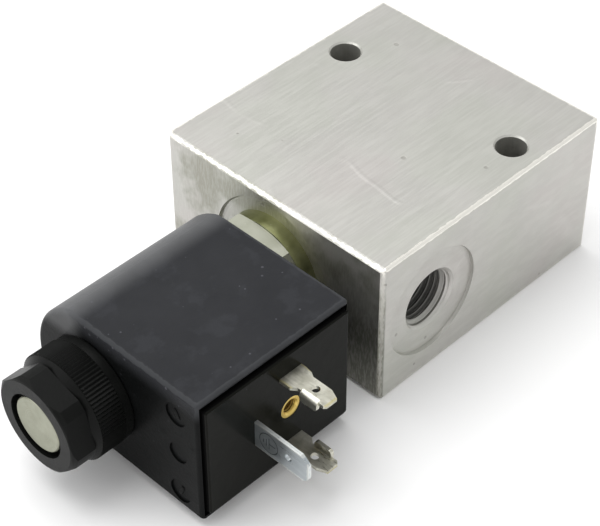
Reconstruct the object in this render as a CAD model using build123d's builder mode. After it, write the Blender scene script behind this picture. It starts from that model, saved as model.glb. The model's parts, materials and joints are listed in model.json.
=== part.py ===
from build123d import *
import os
from math import cos, pi, sin, sqrt

# A two-way solenoid cartridge valve in an aluminium port block.
#
# Frame: the origin is midway between the two mounting holes on the block's underside.
# +X runs along the valve axis from the coil to the block, the terminals face -Y, +Z is up.
# Lengths along the valve axis are counted from the block's front face, the one that takes
# the cartridge: negative towards the coil, positive into the block.

# ---- Port block ----
block_length = 65.0
block_width = 60.0
block_height = 35.0
axis_height = block_height / 2
front_chamfer = 0.9
edge_chamfer = 0.35
mount_setback = 45.5  # mounting holes behind the front face
mount_spacing = 46.0
mount_hole_radius = 3.3
mount_hole_chamfer = 0.35

port_thread_radius = 6.58  # G1/4, major
port_drill_radius = 5.7
port_thread_depth = 12.0
port_drill_depth = 14.0
port_spotface_radius = 12.3
port_spotface_depth = 0.7
port_entry_radius = 7.1
side_port_distance = 14.8
side_passage_radius = 3.6
end_passage_radius = 4.5

# ---- Cartridge ----
spotface_radius = 15.75
spotface_depth = 0.7
hex_flats = 24.0
hex_tilt = 7.5  # degrees of the top flat's normal towards the terminals
hex_start = -8.2
hex_end = -2.65
collar_radius = 12.3
hex_chamfer_radius = 11.9
hex_corner_chamfer = 0.92
neck_radius = 8.0
neck_end = 3.3
thread_radius = 9.0  # pitch radius of 3/4-16
thread_end = 12.6
thread_play = 0.02
gallery_radius = 8.7
gallery_end = 19.5
nose_bore_radius = 6.37
nose_bore_end = 28.6
tube_radius = 7.0
tube_bore_radius = 6.0
tube_start = -47.8
tube_end = 1.5
cage_radius = 6.38
cage_start = 2.0
cage_end = 28.2
cage_nose_radius = 6.33
slide_radius = 4.6
seat_radius = 3.2
seat_start = 18.0
cross_hole_radius = 2.1
seal_groove_radius = 4.9
seal_groove_start = 22.0
seal_groove_end = 26.2

# ---- Moving parts inside ----
stroke = 1.8
core_face = -30.0
shim_thickness = 0.2
stop_gap = 0.02
core_end = -61.0
core_radius = 5.97
stud_radius = 6.0
stud_chamfer = 0.2
armature_radius = 5.94
armature_start = core_face + shim_thickness + stroke + stop_gap
armature_end = -1.5
pocket_radius = 3.0
core_pocket = 5.0
armature_pocket = 9.0
spring_radius = 2.5
spring_wire = 0.35
spring_turns = 9
pin_radius = 1.25
pin_start = -7.5
pin_shoulder = 3.0
pin_tip = 4.4
pin_tip_radius = 0.31
poppet_start = 4.0
poppet_radius = 4.56
poppet_nose_radius = 3.9
poppet_waist = 12.6
orifice_radius = 0.6

# ---- Coil ----
coil_front = -47.0
coil_rear = -8.5
coil_radius = 16.5
coil_half_height = 15.5
coil_side = 28.8  # connector side, from the valve axis
coil_edge = 1.0
coil_rear_edge = 0.5
coil_corner = 0.6
shoulder_blend = 5.0
pad_rise = 1.0
pad_front = -45.8
pad_rear = -9.2
pad_half_height = 13.6
pad_edge = 0.35
seam_width = 0.55
seam_height = 0.85
seam_depth = 1.0
coil_bore = 7.12
coil_wall = 1.5
washer_thickness = 2.5
sleeve_radius = 14.3
sleeve_bore = 12.4
bobbin_flange = 1.5
bobbin_barrel = 8.1
winding_radius = 12.0
window_half_length = 4.5
window_half_height = 4.5
mark_side = 23.0
mark_heights = (9.3, -0.9, -11.4)
mark_radii = (2.6, 2.3, 2.65)
mark_depth = 0.35

# ---- Connector on the coil (DIN, form A) ----
connector_x = -24.7
connector_drop = 0.55  # below the valve axis
contact_spacing = 18.0
contact_thickness = 0.8
contact_tail = 10.8
earth_spacing = 9.0
earth_width = 6.3
earth_length = 13.7
insert_radius = 2.5
insert_recess = 0.1
insert_length = 8.0
insert_thread_radius = 1.5
insert_thread_depth = 7.0
lead_radius = 0.4
lead_offset = 2.0
lead_bend = 1.2
lead_turn = 16.0  # from the valve axis, where the leads turn to their contacts

# ---- Coil nut ----
nut_front = -61.4
nut_flange_front = -56.2
nut_rear = coil_front - 0.05
nut_flats = 20.0
nut_corner_radius = 10.9
nut_face_radius = 9.8
nut_face_chamfer = 0.9
nut_tilt = 17.0  # degrees of one flat's normal from +Z towards the terminals
knurl_count = 90
knurl_outer = 11.5
knurl_inner = 11.2
knurl_front = -54.85
knurl_rear = -49.2
nut_thread_radius = 6.05
nut_mouth_radius = 7.0
nut_mouth_depth = 1.9

# ---- Seals ----
seal_gland_radius = 9.0
front_gland_depth = 1.35
rear_gland_radius = 9.2

# ---- Planes ----
front = -mount_setback
side_view = Plane(origin=(front, 0, axis_height), x_dir=(1, 0, 0), z_dir=(0, -1, 0))


def across(distance):
    """The plane square to the valve axis at a distance from the block's front face."""
    return Plane(origin=(front + distance, 0, axis_height), x_dir=(0, 1, 0), z_dir=(1, 0, 0))


def turn(plane, points, mode=Mode.ADD):
    """Turns a closed outline of (distance, radius) points about the plane's own X axis."""
    with BuildSketch(plane, mode=Mode.PRIVATE) as outline:
        with BuildLine():
            Polyline(*points, close=True)
        make_face()
    revolve(outline.sketch, axis=Axis(plane.origin, plane.x_dir), mode=mode)


def ring(start, end, inner, outer, mode=Mode.ADD):
    """A plain ring, or a disc when the inner radius is 0, on the valve axis."""
    turn(side_view, [(start, inner), (end, inner), (end, outer), (start, outer)], mode)


def round_ring(centre_distance, centre_radius, section_radius):
    """A ring of round section on the valve axis."""
    with BuildSketch(side_view, mode=Mode.PRIVATE) as section:
        with Locations((centre_distance, centre_radius)):
            Circle(section_radius)
    revolve(section.sketch, axis=Axis(side_view.origin, side_view.x_dir))


def bore_port(plane, passage_radius, passage_depth):
    """Cuts a spotfaced threaded port and the passage behind it, inwards along the plane's X axis."""
    floor = port_spotface_depth
    entry = port_entry_radius - port_thread_radius
    turn(
        plane,
        [
            (0, 0),
            (0, port_spotface_radius + 0.15),
            (floor, port_spotface_radius),
            (floor, port_entry_radius),
            (floor + entry, port_thread_radius),
            (floor + port_thread_depth, port_thread_radius),
            (floor + port_thread_depth + 0.5, port_drill_radius),
            (floor + port_drill_depth, port_drill_radius),
            (floor + port_drill_depth + 1.3, passage_radius),
            (passage_depth, passage_radius),
            (passage_depth, 0),
        ],
        mode=Mode.SUBTRACT,
    )


def finish(piece, name):
    """Names a finished piece and writes it out."""
    piece.label = name
    export_step(piece, f"parts/{name}.step")


os.makedirs("parts", exist_ok=True)

# ================= Port block =================
with BuildPart() as valve_body:
    with Locations((front + block_length / 2, 0, block_height / 2)):
        Box(block_length, block_width, block_height)
    front_edges = valve_body.faces().sort_by(Axis.X)[0].edges()
    chamfer(front_edges, front_chamfer)
    remaining = valve_body.edges().filter_by(lambda edge: edge.center().X > front + front_chamfer + 0.01)
    chamfer(remaining, edge_chamfer)
    with Locations(
        (0, mount_spacing / 2, block_height),
        (0, -mount_spacing / 2, block_height),
    ):
        Hole(mount_hole_radius)
    upper_rims = valve_body.edges().filter_by(GeomType.CIRCLE).group_by(Axis.Z)[-1]
    chamfer(upper_rims, mount_hole_chamfer)
    # Cartridge cavity: spotface, seal chamfer, thread, gallery, nose bore.
    turn(
        side_view,
        [
            (0, 0),
            (0, spotface_radius),
            (spotface_depth, spotface_radius - 0.35),
            (spotface_depth, 10.2),
            (neck_end, thread_radius + thread_play),
            (thread_end + 0.4, thread_radius + thread_play),
            (thread_end + 0.8, gallery_radius),
            (gallery_end, gallery_radius),
            (gallery_end + 1.3, nose_bore_radius),
            (nose_bore_end, nose_bore_radius),
            (nose_bore_end, end_passage_radius),
            (nose_bore_end + 8, end_passage_radius),
            (nose_bore_end + 8, 0),
        ],
        mode=Mode.SUBTRACT,
    )
    side_port = Plane(
        origin=(front + side_port_distance, -block_width / 2, axis_height),
        x_dir=(0, 1, 0),
        z_dir=(1, 0, 0),
    )
    bore_port(side_port, side_passage_radius, block_width / 2 - gallery_radius + 1)
    end_port = Plane(
        origin=(front + block_length, 0, axis_height), x_dir=(-1, 0, 0), z_dir=(0, 1, 0)
    )
    bore_port(end_port, end_passage_radius, block_length - nose_bore_end - 4)
finish(valve_body.part, "valve_body")

# ================= Cartridge =================
with BuildPart() as cartridge_body:
    with BuildSketch(across(hex_start)):
        RegularPolygon(hex_flats / 2, 6, major_radius=False, rotation=hex_tilt)
    extrude(amount=hex_end - hex_start)
    corner_radius = hex_flats / sqrt(3)
    turn(
        side_view,
        [
            (hex_start, 0),
            (hex_start, hex_chamfer_radius),
            (hex_start + hex_corner_chamfer, corner_radius),
            (hex_end - hex_corner_chamfer, corner_radius),
            (hex_end, hex_chamfer_radius),
            (hex_end, 0),
        ],
        mode=Mode.INTERSECT,
    )
    ring(hex_end, spotface_depth, 0, collar_radius)
    ring(spotface_depth, neck_end, 0, neck_radius)
    turn(
        side_view,
        [
            (neck_end, 0),
            (neck_end, neck_radius),
            (neck_end + 0.6, thread_radius),
            (thread_end - 0.6, thread_radius),
            (thread_end, neck_radius + 0.2),
            (thread_end, 0),
        ],
    )
    ring(hex_start, tube_end, 0, tube_radius, mode=Mode.SUBTRACT)
    ring(tube_end, thread_end, 0, cage_radius + thread_play, mode=Mode.SUBTRACT)
finish(cartridge_body.part, "cartridge_body")

with BuildPart() as guide_tube:
    ring(tube_start, tube_end, tube_bore_radius, tube_radius)
finish(guide_tube.part, "guide_tube")

with BuildPart() as fixed_core:
    turn(
        side_view,
        [
            (core_end, 0),
            (core_end, stud_radius - stud_chamfer),
            (core_end + stud_chamfer, stud_radius),
            (tube_start - 0.6, stud_radius),
            (tube_start - 0.3, core_radius),
            (core_face, core_radius),
            (core_face, 0),
        ],
    )
    ring(core_face - core_pocket, core_face, 0, pocket_radius, mode=Mode.SUBTRACT)
finish(fixed_core.part, "fixed_core")

with BuildPart() as residual_shim:
    ring(core_face, core_face + shim_thickness, pocket_radius + 0.4, core_radius - 0.4)
finish(residual_shim.part, "residual_shim")

with BuildPart() as valve_cage:
    turn(
        side_view,
        [
            (cage_start, slide_radius),
            (cage_start, cage_radius - 0.3),
            (cage_start + 0.3, cage_radius),
            (thread_end, cage_radius),
            (thread_end, cage_nose_radius),
            (seal_groove_start, cage_nose_radius),
            (seal_groove_start, seal_groove_radius),
            (seal_groove_end, seal_groove_radius),
            (seal_groove_end, cage_nose_radius),
            (cage_end - 0.6, cage_nose_radius),
            (cage_end, cage_nose_radius - 0.6),
            (cage_end, seat_radius),
            (seat_start, seat_radius),
            (seat_start, slide_radius),
        ],
    )
    cross_hole_plane = Plane(
        origin=(front + side_port_distance, 0, axis_height), x_dir=(1, 0, 0), z_dir=(0, 1, 1)
    )
    for hole_plane in (cross_hole_plane, cross_hole_plane.rotated((90, 0, 0))):
        with BuildSketch(hole_plane):
            Circle(cross_hole_radius)
        extrude(amount=cage_radius + 1, both=True, mode=Mode.SUBTRACT)
finish(valve_cage.part, "valve_cage")

# ================= Moving parts =================
with BuildPart() as armature:
    turn(
        side_view,
        [
            (armature_start, pocket_radius),
            (armature_start, armature_radius - 0.2),
            (armature_start + 0.2, armature_radius),
            (armature_end - 0.3, armature_radius),
            (armature_end, armature_radius - 0.3),
            (armature_end, pin_radius),
            (pin_start, pin_radius),
            (pin_start, 0),
            (armature_start + armature_pocket, 0),
            (armature_start + armature_pocket, pocket_radius),
        ],
    )
    # Two grooves let oil pass along the armature.
    with BuildSketch(across(armature_start)):
        with Locations((0, armature_radius), (0, -armature_radius)):
            Rectangle(1.4, 1.6)
    extrude(amount=armature_end - armature_start, mode=Mode.SUBTRACT)
finish(armature.part, "armature")

with BuildPart() as pilot_pin:
    turn(
        side_view,
        [
            (pin_start, 0),
            (pin_start, pin_radius),
            (pin_shoulder, pin_radius),
            (pin_tip, pin_tip_radius),
            (pin_tip, 0),
        ],
    )
finish(pilot_pin.part, "pilot_pin")

spring_start = core_face - core_pocket + spring_wire
spring_length = armature_start + armature_pocket - spring_wire - spring_start
with BuildPart() as armature_spring:
    with BuildLine() as spring_line:
        Helix(
            pitch=spring_length / spring_turns,
            height=spring_length,
            radius=spring_radius,
            center=(front + spring_start, 0, axis_height),
            direction=(1, 0, 0),
        )
    with BuildSketch(Plane(origin=spring_line.line @ 0, z_dir=spring_line.line % 0)):
        Circle(spring_wire)
    sweep(is_frenet=True)
finish(armature_spring.part, "armature_spring")

with BuildPart() as main_poppet:
    turn(
        side_view,
        [
            (poppet_start, orifice_radius),
            (poppet_start, 2.2),
            (poppet_start + 0.5, 2.6),
            (poppet_start + 0.5, poppet_radius - 0.3),
            (poppet_start + 0.8, poppet_radius),
            (poppet_waist, poppet_radius),
            (poppet_waist + 0.5, poppet_nose_radius),
            (seat_start - 0.72, poppet_nose_radius),
            (seat_start + 0.6, poppet_nose_radius - 1.32),
            (seat_start + 0.6, orifice_radius),
        ],
    )
    # Balance grooves round the sliding land.
    for groove in (6.4, 8.4, 10.4):
        ring(groove, groove + 0.5, poppet_radius - 0.35, poppet_radius + 0.1, mode=Mode.SUBTRACT)
finish(main_poppet.part, "main_poppet")

# ================= Cartridge seals =================
with BuildPart() as head_o_ring:
    round_ring(spotface_depth + 0.88, neck_radius + 0.87, 0.84)
finish(head_o_ring.part, "head_o_ring")

nose_seal_middle = (seal_groove_start + seal_groove_end) / 2
with BuildPart() as nose_o_ring:
    round_ring(nose_seal_middle, seal_groove_radius + 0.71, 0.69)
finish(nose_o_ring.part, "nose_o_ring")

with BuildPart() as backup_rings:
    for start in (seal_groove_start + 0.05, seal_groove_end - 1.3):
        ring(start, start + 1.25, seal_groove_radius + 0.02, cage_nose_radius)
finish(backup_rings.part, "backup_rings")

# ================= Coil: inner pieces =================
washer_front_start = coil_front + coil_wall
washer_rear_end = coil_rear - coil_wall
bobbin_start = washer_front_start + washer_thickness
bobbin_end = washer_rear_end - washer_thickness

with BuildPart() as flux_washer_front:
    ring(washer_front_start, bobbin_start, coil_bore, sleeve_radius)
finish(flux_washer_front.part, "flux_washer_front")

with BuildPart() as flux_washer_rear:
    ring(bobbin_end, washer_rear_end, coil_bore, sleeve_radius)
finish(flux_washer_rear.part, "flux_washer_rear")

with BuildPart() as flux_sleeve:
    ring(bobbin_start, bobbin_end, sleeve_bore, sleeve_radius)
    # A window on the connector side lets the leads out.
    with BuildSketch(side_view):
        with Locations((connector_x, -connector_drop)):
            Rectangle(2 * window_half_length, 2 * window_half_height)
    extrude(amount=sleeve_radius + 1, mode=Mode.SUBTRACT)
finish(flux_sleeve.part, "flux_sleeve")

with BuildPart() as coil_bobbin:
    ring(bobbin_start, bobbin_end, coil_bore, bobbin_barrel)
    ring(bobbin_start, bobbin_start + bobbin_flange, coil_bore, sleeve_bore)
    ring(bobbin_end - bobbin_flange, bobbin_end, coil_bore, sleeve_bore)
finish(coil_bobbin.part, "coil_bobbin")

with BuildPart() as coil_winding:
    ring(bobbin_start + bobbin_flange, bobbin_end - bobbin_flange, bobbin_barrel, winding_radius)
finish(coil_winding.part, "coil_winding")

# ================= Connector pieces =================
pad_distance = coil_side + pad_rise
contact_height = contact_spacing / 2 - connector_drop
contact_plane = Plane(
    origin=(front + connector_x, -pad_distance, axis_height + contact_height - contact_thickness / 2),
    x_dir=(0, -1, 0),
    z_dir=(0, 0, 1),
)
fold_start = 4.6
fold_end = 8.9
fold_line = -1.3
with BuildPart() as contact_terminal_upper:
    # Plan view, as (distance out of the pad, distance along the valve axis).
    with BuildSketch(contact_plane):
        with BuildLine():
            Polyline(
                (-contact_tail, -1.5),
                (-0.8, -1.5),
                (-0.8, -2.9),
                (2.7, -2.9),
                (3.8, -2.0),
                (fold_start, -2.0),
                (fold_start, fold_line),
                (fold_end, fold_line),
                (fold_end, -2.0),
                (10.2, -2.0),
                (10.7, -1.5),
                (10.7, 1.1),
                (8.6, 2.0),
                (3.9, 2.0),
                (2.9, 2.6),
                (1.2, 2.9),
                (-0.8, 2.9),
                (-0.8, 1.5),
                (-contact_tail, 1.5),
                close=True,
            )
        make_face()
        with Locations((6.4, 0.1)):
            Circle(0.85, mode=Mode.SUBTRACT)
    extrude(amount=contact_thickness)
    # A tab folded down along one edge of the blade.
    fold_section = Plane(
        origin=(
            front + connector_x,
            -pad_distance - fold_start,
            axis_height + contact_height,
        ),
        x_dir=(1, 0, 0),
        z_dir=(0, -1, 0),
    )
    half = contact_thickness / 2
    inner_bend = 0.3
    outer_bend = inner_bend + contact_thickness
    bend_depth = -(inner_bend + half)
    tab_depth = -2.0
    with BuildSketch(fold_section):
        with BuildLine():
            outer = CenterArc((fold_line, bend_depth), outer_bend, 90, 90)
            edge_down = Line(outer @ 1, (fold_line - outer_bend, tab_depth))
            foot = Line(edge_down @ 1, (fold_line - inner_bend, tab_depth))
            edge_up = Line(foot @ 1, (fold_line - inner_bend, bend_depth))
            inner = CenterArc((fold_line, bend_depth), inner_bend, 180, -90)
            Line(inner @ 1, outer @ 0)
        make_face()
    extrude(amount=fold_end - fold_start)
    tab_corners = (
        contact_terminal_upper.edges()
        .filter_by(Axis.X)
        .filter_by(lambda edge: edge.center().Z < axis_height + contact_height + tab_depth + 0.01)
    )
    fillet(tab_corners, 0.7)
finish(contact_terminal_upper.part, "contact_terminal_upper")

# The lower contact is the same stamping, turned half a turn about the connector's axis.
connector_axis = Axis((front + connector_x, 0, axis_height - connector_drop), (0, -1, 0))
contact_terminal_lower = contact_terminal_upper.part.rotate(connector_axis, 180)
finish(contact_terminal_lower, "contact_terminal_lower")

earth_plane = Plane(
    origin=(
        front + connector_x - earth_spacing + contact_thickness / 2,
        -pad_distance,
        axis_height - connector_drop,
    ),
    x_dir=(0, -1, 0),
    z_dir=(-1, 0, 0),
)
earth_half = earth_width / 2
symbol_centre = 3.6
symbol_radius = 2.45
symbol_line = 0.24
symbol_depth = 0.08
with BuildPart() as earth_terminal:
    with BuildSketch(earth_plane):
        with BuildLine():
            Polyline(
                (-pad_distance + sleeve_radius - 1.0, -2.2),
                (-0.8, -2.2),
                (-0.8, -earth_half),
                (earth_length - 1.4, -earth_half),
                (earth_length, -earth_half + 1.1),
                (earth_length, earth_half - 1.5),
                (earth_length - 1.9, earth_half),
                (-0.8, earth_half),
                (-0.8, 2.2),
                (-pad_distance + sleeve_radius - 1.0, 2.2),
                close=True,
            )
        make_face()
        with Locations((8.6, 0)):
            Circle(0.85, mode=Mode.SUBTRACT)
    extrude(amount=contact_thickness)
    # The tail ends on the flux sleeve.
    ring(bobbin_start, bobbin_end, 0, sleeve_radius, mode=Mode.SUBTRACT)
    # The protective-earth sign, stamped in.
    with BuildSketch(earth_plane.offset(contact_thickness - symbol_depth)):
        with Locations((symbol_centre, 0)):
            Circle(symbol_radius)
            Circle(symbol_radius - symbol_line, mode=Mode.SUBTRACT)
        for offset, length in ((-1.3, 0.9), (-0.6, 1.9), (0.1, 2.9)):
            with Locations((symbol_centre + offset, 0)):
                Rectangle(symbol_line, length)
        with Locations((symbol_centre + 0.9, 0)):
            Rectangle(1.6, symbol_line)
    extrude(amount=symbol_depth, mode=Mode.SUBTRACT)
    blade_corner = (
        earth_terminal.edges()
        .filter_by(Axis.X)
        .group_by(Axis.Y)[0]
        .sort_by(Axis.Z)[0]
    )
    fillet(blade_corner, 1.0)
finish(earth_terminal.part, "earth_terminal")

insert_plane = Plane(
    origin=(front + connector_x, -pad_distance, axis_height - connector_drop),
    x_dir=(0, 1, 0),
    z_dir=(1, 0, 0),
)
with BuildPart() as brass_insert:
    turn(
        insert_plane,
        [
            (insert_recess, insert_thread_radius + 0.35),
            (insert_recess, insert_radius),
            (3.0, insert_radius),
            (3.0, insert_radius - 0.4),
            (4.2, insert_radius - 0.4),
            (4.2, insert_radius),
            (insert_length, insert_radius),
            (insert_length, 0),
            (insert_thread_depth, 0),
            (insert_thread_depth, insert_thread_radius),
            (insert_recess + 0.35, insert_thread_radius),
        ],
    )
finish(brass_insert.part, "brass_insert")

contact_tail_distance = pad_distance - contact_tail
with BuildPart() as coil_leads:
    for height, end_height in (
        (lead_offset, contact_height),
        (-lead_offset, -contact_height - 2 * connector_drop),
    ):
        lead_start = sqrt(winding_radius**2 - (lead_offset - lead_radius) ** 2) + 0.01
        with BuildLine(across(connector_x)) as lead_line:
            FilletPolyline(
                (-lead_start, height),
                (-lead_turn, height),
                (-lead_turn, end_height),
                (-contact_tail_distance, end_height),
                radius=lead_bend,
            )
        with BuildSketch(Plane(origin=lead_line.line @ 0, z_dir=lead_line.line % 0)):
            Circle(lead_radius)
        sweep(path=lead_line.line)
finish(coil_leads.part, "coil_leads")

# ================= Coil housing =================
with BuildPart() as coil_housing:
    with BuildSketch(across(coil_front)) as profile:
        Circle(coil_radius)
        Rectangle(2 * coil_radius, 2 * coil_half_height, mode=Mode.INTERSECT)
        with Locations((-coil_side / 2, 0)):
            Rectangle(coil_side, 2 * coil_half_height)
        outer_corners = profile.vertices().group_by(Axis.X)[0]
        fillet(outer_corners, coil_corner)
        shoulders = profile.vertices().filter_by(
            lambda corner: corner.X > 1 and abs(abs(corner.Y) - coil_half_height) < 0.01
        )
        fillet(shoulders, shoulder_blend)
    extrude(amount=coil_rear - coil_front)
    fillet(coil_housing.faces().sort_by(Axis.X)[0].edges(), coil_edge)
    fillet(coil_housing.faces().sort_by(Axis.X)[-1].edges(), coil_rear_edge)
    # Seam round the connector pad, then the pad itself.
    pad_middle = (pad_front + pad_rear) / 2
    pad_length = pad_rear - pad_front
    with BuildSketch(side_view.offset(coil_side)):
        with Locations((pad_middle, 0)):
            Rectangle(pad_length + 2 * seam_width, 2 * (pad_half_height + seam_height))
            Rectangle(pad_length, 2 * pad_half_height, mode=Mode.SUBTRACT)
    extrude(amount=-seam_depth, mode=Mode.SUBTRACT)
    with BuildSketch(side_view.offset(coil_side)):
        with Locations((pad_middle, 0)):
            RectangleRounded(pad_length, 2 * pad_half_height, 0.5)
    extrude(amount=pad_rise)
    fillet(coil_housing.faces().sort_by(Axis.Y)[0].edges(), pad_edge)
    for height, radius in zip(mark_heights, mark_radii):
        with BuildSketch(across(coil_front)):
            with Locations((-mark_side, height)):
                Circle(radius)
        extrude(amount=mark_depth, mode=Mode.SUBTRACT)
    # Room for everything moulded in.
    ring(coil_front, coil_rear, 0, coil_bore + 0.03, mode=Mode.SUBTRACT)
    ring(washer_front_start, washer_rear_end, 0, bobbin_barrel, mode=Mode.SUBTRACT)
    ring(washer_rear_end, coil_rear, 0, rear_gland_radius, mode=Mode.SUBTRACT)
    for piece in (
        flux_washer_front.part,
        flux_washer_rear.part,
        flux_sleeve.part,
        coil_bobbin.part,
        coil_winding.part,
        coil_leads.part,
        brass_insert.part,
        contact_terminal_upper.part,
        contact_terminal_lower,
        earth_terminal.part,
    ):
        add(piece, mode=Mode.SUBTRACT)
    # Open the pad over the insert and its thread.
    turn(
        insert_plane,
        [
            (0, 0),
            (0, insert_radius),
            (insert_recess, insert_radius),
            (insert_recess, insert_thread_radius + 0.35),
            (insert_recess + 0.35, insert_thread_radius),
            (insert_thread_depth, insert_thread_radius),
            (insert_thread_depth, 0),
        ],
        mode=Mode.SUBTRACT,
    )
finish(coil_housing.part, "coil_housing")

# ================= Coil seals and nut =================
with BuildPart() as coil_seal_rear:
    round_ring(coil_rear - 0.64, 8.15, 0.84)
finish(coil_seal_rear.part, "coil_seal_rear")

with BuildPart() as coil_seal_front:
    round_ring(nut_rear - 0.66, 8.05, 0.62)
finish(coil_seal_front.part, "coil_seal_front")


def knurl_outline():
    """Ridge and valley points round the flange, a half pitch apart."""
    points = []
    for step in range(2 * knurl_count):
        radius = knurl_outer if step % 2 == 0 else knurl_inner
        angle = pi * step / knurl_count
        points.append((radius * cos(angle), radius * sin(angle)))
    return points


with BuildPart() as coil_nut:
    with BuildSketch(across(knurl_front)):
        with BuildLine():
            Polyline(*knurl_outline(), close=True)
        make_face()
    extrude(amount=knurl_rear - knurl_front)
    turn(
        side_view,
        [
            (nut_flange_front, 0),
            (nut_flange_front, nut_flats / 2 - 0.05),
            (knurl_front - 0.05, knurl_inner + 0.1),
            (knurl_front, knurl_inner),
            (knurl_rear, knurl_inner),
            (knurl_rear + 0.05, knurl_inner + 0.15),
            (nut_rear - 0.3, knurl_inner + 0.15),
            (nut_rear, knurl_inner - 0.15),
            (nut_rear, 0),
        ],
    )
    with BuildSketch(across(nut_front), mode=Mode.PRIVATE) as hexagon:
        RegularPolygon(nut_flats / 2, 6, major_radius=False, rotation=nut_tilt)
        Circle(nut_corner_radius, mode=Mode.INTERSECT)
    extrude(hexagon.sketch, amount=nut_flange_front - nut_front)
    # Rounded front edge, cut as two bevels.
    turn(
        side_view,
        [
            (nut_front - 1, nut_face_radius),
            (nut_front, nut_face_radius),
            (nut_front + 0.15, nut_face_radius + 0.35),
            (nut_front + nut_face_chamfer, nut_corner_radius + 0.02),
            (nut_front + nut_face_chamfer, nut_corner_radius + 3),
            (nut_front - 1, nut_corner_radius + 3),
        ],
        mode=Mode.SUBTRACT,
    )
    ring(nut_front, nut_rear, 0, nut_thread_radius, mode=Mode.SUBTRACT)
    ring(nut_front, nut_front + nut_mouth_depth, 0, nut_mouth_radius, mode=Mode.SUBTRACT)
    ring(nut_rear - front_gland_depth, nut_rear, 0, seal_gland_radius, mode=Mode.SUBTRACT)
finish(coil_nut.part, "coil_nut")
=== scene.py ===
"""Looks of a solenoid directional valve: port block, cartridge, coil with blade terminals, coil nut."""

import json
import math

import bpy
import numpy as np
from mathutils import Matrix, Vector


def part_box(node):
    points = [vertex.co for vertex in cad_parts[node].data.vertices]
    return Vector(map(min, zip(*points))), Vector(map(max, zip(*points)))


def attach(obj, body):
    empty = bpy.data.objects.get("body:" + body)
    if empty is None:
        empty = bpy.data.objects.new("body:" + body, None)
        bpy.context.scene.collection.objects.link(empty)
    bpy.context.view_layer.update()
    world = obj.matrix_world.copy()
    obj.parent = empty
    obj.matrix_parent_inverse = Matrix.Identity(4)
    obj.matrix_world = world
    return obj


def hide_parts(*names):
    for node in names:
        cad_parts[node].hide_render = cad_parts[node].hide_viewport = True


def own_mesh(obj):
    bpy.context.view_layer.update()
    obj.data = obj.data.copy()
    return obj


MM = 0.001
TURN = 2 * math.pi
AXIS_HEIGHT = 17.5 * MM  # valve axis above the block's underside

BLOCK_FRONT = -45.5 * MM
BLOCK_REAR = 19.5 * MM
BLOCK_SIDE = -30.0 * MM
BLOCK_TOP = 35.0 * MM
SIDE_PORT_X = -30.7 * MM
HEX_END = BLOCK_FRONT - 2.65 * MM
PORT_SHADE_RADIUS = 7.1 * MM  # a little wider than a port's bore
SIDE_RINGS_RADIUS = 12.3 * MM
END_RINGS_RADIUS = 15.5 * MM
FACE_FAR = 1.2 * MM  # a face's own colour ends this deep
FACE_NEAR = 0.6 * MM  # and is full from here outwards

COIL_FRONT = -92.5 * MM
COIL_REAR = -54.0 * MM
COIL_SIDE = -28.8 * MM
COIL_FAR_SIDE = 30.0 * MM
COIL_BOTTOM = 2.0 * MM
COIL_TOP = 33.0 * MM
PAD_MIDDLE = -73.0 * MM
GROOVE_HALF_LENGTH = 18.88 * MM
GROOVE_HALF_HEIGHT = 14.47 * MM
GROOVE_OUTER = -29.45 * MM
GROOVE_INNER = -27.5 * MM

CONNECTOR_X = -70.2 * MM
CONNECTOR_HEIGHT = 16.95 * MM
BLADE_CLEAR = -36.5 * MM  # a blade's duller root starts here
BLADE_ROOT = -30.5 * MM  # and is full here, by the coil
SIGN_FACE = -79.6 * MM
SIGN_Y = -33.4 * MM
SIGN_RADIUS = 2.7 * MM
INSERT_HOLE_RADIUS = 1.78 * MM
INSERT_MOUTH = -29.75 * MM

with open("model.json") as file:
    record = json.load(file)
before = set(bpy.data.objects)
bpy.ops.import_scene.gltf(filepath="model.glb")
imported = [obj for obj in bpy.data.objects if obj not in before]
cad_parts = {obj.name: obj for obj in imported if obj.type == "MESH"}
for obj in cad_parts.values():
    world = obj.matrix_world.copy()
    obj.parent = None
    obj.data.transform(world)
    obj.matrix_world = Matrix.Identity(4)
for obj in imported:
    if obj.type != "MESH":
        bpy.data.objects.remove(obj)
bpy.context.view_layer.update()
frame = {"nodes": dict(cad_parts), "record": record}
nodes = frame["nodes"]


# ================= Surfaces =================
def wall(rows, columns, wraps):
    """Four-sided faces between neighbouring rows of a grid of points, numbered row by row. Each row
    closes on itself, and the last row joins the first where wraps is true."""
    spans = rows if wraps else rows - 1
    row, column = np.meshgrid(np.arange(spans), np.arange(columns), indexing="ij")
    here = row * columns
    there = (row + 1) % rows * columns
    following = (column + 1) % columns
    corners = [here + column, there + column, there + following, here + following]
    return np.stack(corners, axis=-1).reshape(-1, 4)


def shell(name, points, quads, fans, body):
    """A smooth closed mesh. Six times its volume is the sum, over its triangles, of one corner
    dotted with the cross product of the other two, and a negative sum turns the faces round."""
    triangles = np.vstack([quads[:, [0, 1, 2]], quads[:, [0, 2, 3]], fans])
    a, b, c = (points[triangles[:, corner]] for corner in range(3))
    faces = quads.tolist() + fans.tolist()
    if np.einsum("ij,ij->", a, np.cross(b, c)) < 0:
        faces = [face[::-1] for face in faces]
    mesh = bpy.data.meshes.new(name)
    mesh.from_pydata(points.tolist(), [], faces)
    mesh.polygons.foreach_set("use_smooth", np.ones(len(faces), dtype=bool))
    mesh.update()
    piece = bpy.data.objects.new(name, mesh)
    bpy.context.scene.collection.objects.link(piece)
    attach(piece, body)
    return piece


def closed_surface(name, points, body):
    """A closed mesh from a grid of points that wraps round in both directions."""
    rows, columns = points.shape[:2]
    no_fans = np.empty((0, 3), dtype=int)
    return shell(name, points.reshape(-1, 3), wall(rows, columns, True), no_fans, body)


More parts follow.
